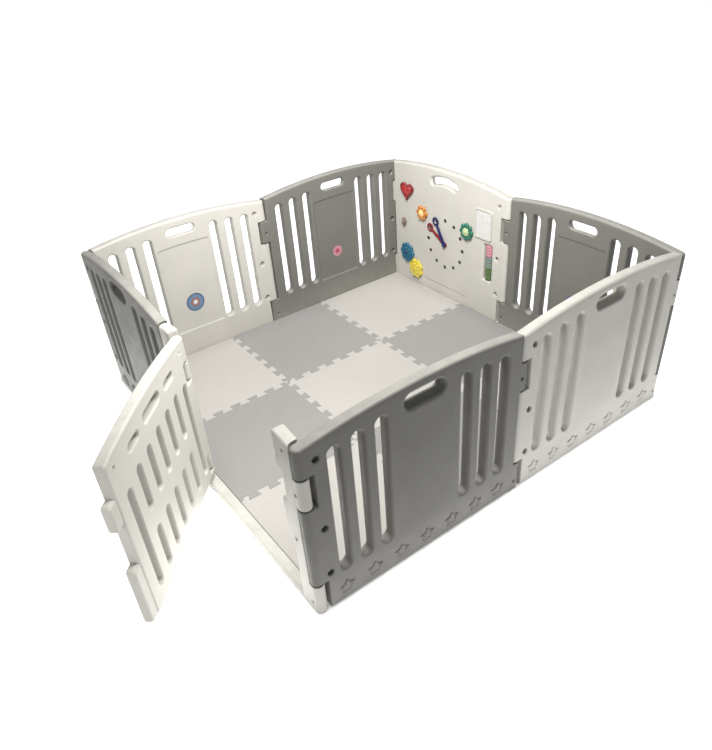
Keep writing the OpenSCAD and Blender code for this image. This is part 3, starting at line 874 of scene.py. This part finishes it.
def activity_panel():
    """The play side: a curved hand-hole, a window for the rollers and a groove near its foot."""
    radius, length, room = ROLLER
    x, z = ROLLERS
    half_w, half_h = radius + 0.004, (3 * length + 4 * room) / 2
    window = rectangle(x - half_w, z - half_h, x + half_w, z + half_h, 0.006)
    body = upright([panel_outline(), window], THICK, EDGE)
    groove = upright([obround((0.247, 0.056), (0.541, 0.056), 0.009)], 0.008, 0.003, y=-THICK / 2)
    return hinged(body, EDGE, [curved_hand_hole(), groove])


def on_face(at, lift=FACE_GAP):
    """Where a play piece sits: its own z axis points into the pen."""
    return place("back_left") @ shift(at[0], -THICK / 2 - lift, at[1]) @ UPRIGHT


def heart_loop(width, steps=64):
    """A heart that is width wide, a little above its own middle."""
    points = []
    for step in range(steps):
        a = 2 * math.pi * step / steps
        x = 16 * math.sin(a) ** 3
        y = 13 * math.cos(a) - 5 * math.cos(2 * a) - 2 * math.cos(3 * a) - math.cos(4 * a)
        points.append(Vector((x, y + 3.2)) * width / 32)
    return points


def flower_loop(petals, reach, petal, steps=12):
    """Round petals on a circle, meeting in the valleys between them."""
    points = []
    half = math.pi / petals
    valley = reach * math.cos(half) + math.sqrt(petal**2 - (reach * math.sin(half)) ** 2)
    start = math.acos((valley * math.cos(half) - reach) / petal)
    for index in range(petals):
        for step in range(steps):
            a = -start + 2 * start * step / steps
            spot = Vector((reach + petal * math.cos(a), petal * math.sin(a)))
            points.append(spun(spot, 2 * half * index))
    return points


def gear_loop(phase, petals=8, tip=0.0036):
    radius = GEAR_CENTRES / 2 - 0.0005
    points = []
    for step in range(12 * petals):
        a = 2 * math.pi * step / (12 * petals)
        reach = radius + tip * math.cos(petals * a)
        points.append(reach * Vector((math.cos(a + phase), math.sin(a + phase))))
    return points


def raised(mesh, z):
    return moved(mesh, shift(0, 0, z))


def painted(mesh, index):
    """The mesh, with every face in one of its piece's materials."""
    for face in mesh.polygons:
        face.material_index = index
    return mesh


def toy(loop, rim, inner, edge=0.003):
    """A flat play piece with a bead round it and a raised middle in its second material."""
    base = raised(plate([loop], TOY_THICK, edge), TOY_THICK / 2)
    bead = raised(tube([(point * 0.90).to_3d() for point in loop], rim), TOY_THICK - 0.0006)
    middle = raised(plate([inner], 0.006, 0.0025), TOY_THICK)
    return joined([base, bead, painted(middle, 1)])


def rivet_mesh(above):
    """A domed rivet whose head sits a distance above the panel."""
    head, dome = 0.009, 0.0035
    profile = [(0.004, -0.010), (0.004, above), (head, above), (head, above + 0.001)]
    profile += [(head * math.cos(a), above + 0.001 + dome * math.sin(a))
                for a in quarter(6)[1:-1]]
    return lathe(profile, 32)


def hand_loops(reach=DIAL):
    """A clock hand along +x, from a round boss to a ring."""
    tip, neck, root, hub = 0.021, 0.0075, 0.0110, 0.014
    arm_start = math.asin(root / hub)
    ring_start = math.asin(neck / tip)
    boss = [arm_start + (2 * math.pi - 2 * arm_start) * step / 20 for step in range(21)]
    points = [hub * Vector((math.cos(a), math.sin(a))) for a in boss]
    ring = [math.pi + ring_start + (2 * math.pi - 2 * ring_start) * step / 32 for step in range(33)]
    points += [Vector((reach + tip * math.cos(a), tip * math.sin(a))) for a in ring]
    return [points, circle(0.011, 32, (reach, 0))]


def clock_hand():
    base = raised(plate(hand_loops(), 0.004, 0.0015, 2), 0.002)
    ridge = tube([Vector((0.014, 0, 0.0035)), Vector((DIAL - 0.022, 0, 0.0035))], 0.0022, closed=False)
    return joined([base, ridge])


def roller_mesh():
    """A roller with rounded rims and three grooves."""
    radius, length, _ = ROLLER
    profile = [(radius - 0.004, 0), (radius - 0.0015, 0.001), (radius, 0.004)]
    for index in range(3):
        z = length * (0.27 + 0.23 * index)
        profile += [(radius, z - 0.003), (radius - 0.0022, z - 0.0012), (radius - 0.0022, z + 0.0012),
                    (radius, z + 0.003)]
    profile += [(radius, length - 0.004), (radius - 0.0015, length - 0.001), (radius - 0.004, length)]
    return lathe(profile, 40)


def mirror_frame_mesh():
    wide, high = (size / 2 for size in MIRROR_SIZE)
    rim = 0.009
    loops = []
    for inset, radius in ((0, 0.012), (rim, 0.006)):
        w, h = wide - inset, high - inset
        loops.append(rectangle(-w, -h, w, h, radius))
    return raised(plate(loops, 0.006, 0.002, 3), 0.002)


def mirror_mesh():
    wide, high = (size / 2 - 0.0093 for size in MIRROR_SIZE)
    return raised(plate([rectangle(-wide, -high, wide, high, 0.004)], 0.002, 0.0004, 1), 0.001)


def dots_mesh():
    """Twelve low domes round the dial."""
    radius, rise, sunk = 0.0092, 0.0010, 0.0004
    dome = [(radius * math.cos(a), rise * math.sin(a)) for a in quarter(5)[:-1]]
    made = []
    for hour in range(12):
        a = math.radians(30 * hour)
        dot = lathe([(radius, -sunk), *dome], 20)
        made.append(moved(dot, shift(DIAL * math.sin(a), DIAL * math.cos(a), 0)))
    return joined(made)


# ---- The foam mat ----


def toothed(lower):
    """Points along a toothed edge, corner to corner: lower is 1 for the tile below it, -1 for the other."""
    margin, splay, half = 0.014, 0.004, TOOTH_DEPTH / 2
    step, gap = (TILE - 2 * margin) / TEETH, lower * TOOTH_GAP / 2
    points = [(margin, -gap), (margin - gap, -half - gap)]
    for index in range(TEETH):
        for along, side, depth in ((0.25, 1, -half), (0.25, -1, half), (0.75, 1, half), (0.75, -1, -half)):
            x = margin + (index + along) * step + splay * side + (gap if along < 0.5 else -gap)
            points.append((x, depth - gap))
    return points + [(TILE - margin + gap, -half - gap), (TILE - margin, -gap)]


def tile_loop(column, row):
    """A tile's outline, toothed where it has a neighbour and straight along the walls."""
    half, gap, soft = TILE / 2, TOOTH_GAP / 2, 0.0025
    west = -MAT_HALF if column == -1 else -half + gap + column * TILE
    east = MAT_HALF if column == 1 else half - gap + column * TILE
    south = -MAT_HALF if row == -1 else -half + gap + row * TILE
    north = MAT_HALF if row == 1 else half - gap + row * TILE
    x0, y0 = column * TILE - half, row * TILE - half
    far, near = toothed(1), toothed(-1)
    corners = [(west, south)]
    if row > -1:
        corners += [(x0 + a, y0 + b) for a, b in near]
    corners.append((east, south))
    if column < 1:
        corners += [(x0 + TILE + b, y0 + a) for a, b in far]
    corners.append((east, north))
    if row < 1:
        corners += [(x0 + a, y0 + TILE + b) for a, b in far[::-1]]
    corners.append((west, north))
    if column > -1:
        corners += [(x0 + b, y0 + a) for a, b in near[::-1]]
    return rounded([(x, y, soft) for x, y in corners], 3)


# ---- Putting it together ----


def build_panels():
    slatted = slatted_panel()
    for spot, material in (("front_left", GREY), ("left_front", WHITE), ("left_back", GREY),
                           ("back_right", GREY), ("right_back", WHITE), ("right_front", GREY)):
        piece("shell_" + spot, slatted, [material], spot, ["panel_" + spot], place(spot))
    piece("shell_activity", activity_panel(), [WHITE], "pen", ["panel_activity"],
          place("back_left"))
    piece("shell_gate_frame", gate_frame_mesh(), [WHITE], "gate_side", ["gate_frame"],
          place("front_right"))
    hung = place("front_right") @ shift(GATE_AXIS, 0, 0) @ turn(180 - GATE_OPEN)
    piece("shell_gate_door", gate_door_mesh(), [WHITE], "gate", ["gate_door"], hung)


def build_toys():
    boss = raised(plate([circle(0.015)], TOY_THICK, 0.003), TOY_THICK / 2)
    grip = raised(plate([obround((0, -0.016), (0, 0.016), 0.012)], TOY_THICK + 0.002, 0.004),
                  TOY_THICK / 2 + 0.001)
    eye, meshed = flower_loop(8, 0.022, 0.009), GEAR_ANGLE + math.pi + math.pi / 8
    for name, mesh, materials, slot, at in (
        ("heart", toy(heart_loop(0.093), 0.0022, heart_loop(0.068)), [DARK_RED, RED], "red", HEART),
        ("flower_orange", toy(flower_loop(6, 0.024, 0.013), 0.0018, circle(0.0175)),
         [ORANGE_RIM, ORANGE_MIDDLE], "orange", ORANGE),
        ("flower_green", toy(flower_loop(8, 0.029, 0.0115), 0.0018, circle(0.0185)),
         [GREEN_RIM, GREEN_MIDDLE], "green", GREEN),
        ("gear_blue", toy(gear_loop(GEAR_ANGLE), 0.0018, eye), [BLUE_GLOSS] * 2, "blue", BLUE),
        ("gear_yellow", toy(gear_loop(meshed), 0.0018, eye), [YELLOW_GLOSS] * 2, "yellow", YELLOW),
        ("knob", joined([boss, grip]), [BROWN], "brown", KNOB),
    ):
        piece("toy_" + name, mesh, materials, name, [name], on_face(at))
    hand = clock_hand()
    for name, material, slot, lift, hour in (
        ("hour_hand", HAND_RED, "red", FACE_GAP + 0.0008, HOUR_HAND),
        ("minute_hand", NAVY, "navy", 2 * FACE_GAP + 0.0048, MINUTE_HAND),
    ):
        piece("clock_" + name, hand, [material], name, [name],
              on_face(CLOCK, lift) @ turn(90 - 30 * hour))
    piece("clock_face_dots", dots_mesh(), [DARK], "pen", ["clock_dots"], on_face(CLOCK, 0))
    rivets = [(HEART, RED), (ORANGE, ORANGE_MIDDLE), (GREEN, GREEN_MIDDLE), (BLUE, NAVY),
              (YELLOW, YELLOW_GLOSS), (KNOB, BROWN), (CLOCK, NAVY)]
    heads = []
    for index, (at, _) in enumerate(rivets):
        above = 0.0123 if at == CLOCK else FACE_GAP + TOY_THICK + 0.0025
        heads.append(painted(moved(rivet_mesh(above), on_face(at, 0)), index))
    piece("rivet_heads", joined(heads), [material for _, material in rivets], "pen", ["toy_rivets"])
    radius, length, room = ROLLER
    roller = roller_mesh()
    for name, index, material, slot in (("top", 1, PINK, "pink"), ("middle", 0, SAGE, "sage"),
                                        ("bottom", -1, LEAF, "leaf")):
        z = ROLLERS[1] + index * (length + room) - length / 2
        piece("toy_roller_" + name, roller, [material], "roller_" + name, ["roller_" + name],
              place("back_left") @ shift(ROLLERS[0], 0, z))
    spot = on_face(MIRROR, 0)
    piece("mirror_surround", mirror_frame_mesh(), [WHITE], "pen", ["mirror_frame"], spot)
    piece("mirror_sheet", mirror_mesh(), [MIRROR_PAINTED_REFLECTION], "pen", ["mirror"], spot)


def build_stickers():
    depth = FIELD[3]
    for spot, radius, material, slot in (("left_front", 0.042, BLUE_STICKER, "blue_sticker"),
                                         ("left_back", 0.0294, PINK_STICKER, "pink_sticker"),
                                         ("back_right", 0.042, BLUE_STICKER, "blue_sticker")):
        disc = lathe([(1, 0), (1, 0.0004 / radius), (1 - 0.0003 / radius, 0.0006 / radius)], 48)
        where = place(spot) @ shift(STICKER[0], depth - THICK / 2, STICKER[1]) @ UPRIGHT
        piece("round_sticker_" + spot, disc, [material], spot, ["sticker_" + spot],
              where @ Matrix.Scale(radius, 4))


def build_mat():
    rows, columns = ("front", "", "back"), ("left", "", "right")
    for row in (-1, 0, 1):
        for column in (-1, 0, 1):
            name = "_".join(part for part in (rows[row + 1], columns[column + 1]) if part) or "centre"
            pale = (row + column) % 2 == 0
            mesh = raised(plate([tile_loop(column, row)], TILE_THICK, 0.0015, 2), TILE_THICK / 2)
            obj = piece("foam_" + name, mesh, [FOAM_WHITE if pale else FOAM_GREY], "pen", ["tile_" + name])


def dress_pins():
    """The hinge pins and the rollers' rod stay as the CAD has them, in brushed steel."""
    for name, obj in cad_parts.items():
        if name.startswith("pins_") or name == "roller_rod":
            obj.data.materials.clear()
            obj.data.materials.append(STEEL)


# ---- Stage: floor, light and camera ----

WARM = (1.0, 0.985, 0.955)
CAMERA_AT = (1.8614, -1.3133, 1.6113)
CAMERA_ANGLES = (55.828, 35.135, -4.490)  # azimuth from -Y, elevation and roll
FOCAL_LENGTH = 0.89652  # as a share of the picture's height
CAMERA_SHIFT = (-0.0074, 0.0147)


def build_floor():
    """A pale floor that glows a little, least under the pen and most in a band just outside it."""
    made = bmesh.new()
    bmesh.ops.create_grid(made, x_segments=8, y_segments=8, size=60)
    mesh = bpy.data.meshes.new("studio_floor")
    made.to_mesh(mesh)
    made.free()
    floor = added("studio_floor", mesh)
    floor.location = (0, 0, -0.001)
    material, tree, looks, where = new_material("studio_floor")
    tint = patches(tree, where, 0.6, 2)
    feed(tree, blend_colours(tree, tint, (0.90, 0.90, 0.90), (0.92, 0.92, 0.92)), looks["Base Color"])
    looks["Roughness"].default_value = 0.9
    looks["Emission Color"].default_value = (1, 1, 1, 1)
    spot = axes_of(tree, where)
    away = maths(tree, "MAXIMUM", maths(tree, "ABSOLUTE", spot["X"]),
                      maths(tree, "ABSOLUTE", spot["Y"]))
    glow = maths(tree, "MULTIPLY", ramp(tree, away, 0.85, 1.20, 1.8, 0.38),
                      ramp(tree, away, 0.78, 0.84, 0.1, 1.0))
    tree.links.new(glow, looks["Emission Strength"])
    mesh.materials.append(material)


def area_light(name, energy, size, location, target, spread, colour):
    """A round lamp at a location, aimed at a target. Spread is in degrees."""
    data = bpy.data.lights.new(name, "AREA")
    data.energy = energy
    data.shape = "DISK"
    data.size = size
    data.spread = math.radians(spread)
    data.color = colour
    light = added(name, data)
    light.location = location
    light.rotation_euler = (Vector(target) - Vector(location)).to_track_quat("-Z", "Y").to_euler()
    light.visible_camera = False


def build_lights():
    """A sky brightest at the horizon, a wide sun overhead, and lamps for the inside and the gate."""
    world = bpy.data.worlds.new("studio")
    world.use_nodes = True
    tree = world.node_tree
    split = axes_of(tree, tree.nodes.new("ShaderNodeTexCoord").outputs["Generated"])
    tree.nodes["Background"].inputs["Color"].default_value = (1, 1, 1, 1)
    tree.links.new(ramp(tree, split["Z"], 0.0, 0.22, 0.62, 0.13),
                   tree.nodes["Background"].inputs["Strength"])
    bpy.context.scene.world = world
    above = bpy.data.lights.new("above", "SUN")
    above.energy = 1.80
    above.angle = math.radians(20)
    added("above", above)
    area_light("key", 64, 0.9, (0.40, -0.40, 1.95), (-0.85, 0.85, 0.35), 150, WARM)
    area_light("gate_fill", 5.2, 0.6, (0.50, 0.10, 1.90), (0.27, -1.0, 0.33), 60, WARM)
    area_light("edge_fill", 0.45, 0.4, (1.60, -2.60, 1.20), (0.46, -1.15, 0.32), 26, WARM)
    bpy.context.scene.view_settings.view_transform = "Standard"


def build_camera():
    """A camera that looks down into the pen across its near corner, rolled a little."""
    data = bpy.data.cameras.new("camera")
    data.sensor_width = 36
    data.lens = data.sensor_width * FOCAL_LENGTH
    data.shift_x, data.shift_y = CAMERA_SHIFT
    camera = added("camera", data)
    azimuth, elevation, roll = CAMERA_ANGLES
    camera.matrix_world = shift(*CAMERA_AT) @ turn(azimuth) @ turn(90 - elevation, "X") @ turn(roll)
    bpy.context.scene.camera = camera


build_camera()
build_panels()
build_toys()
build_stickers()
build_mat()
dress_pins()
build_floor()
build_lights()

bpy.context.view_layer.update()
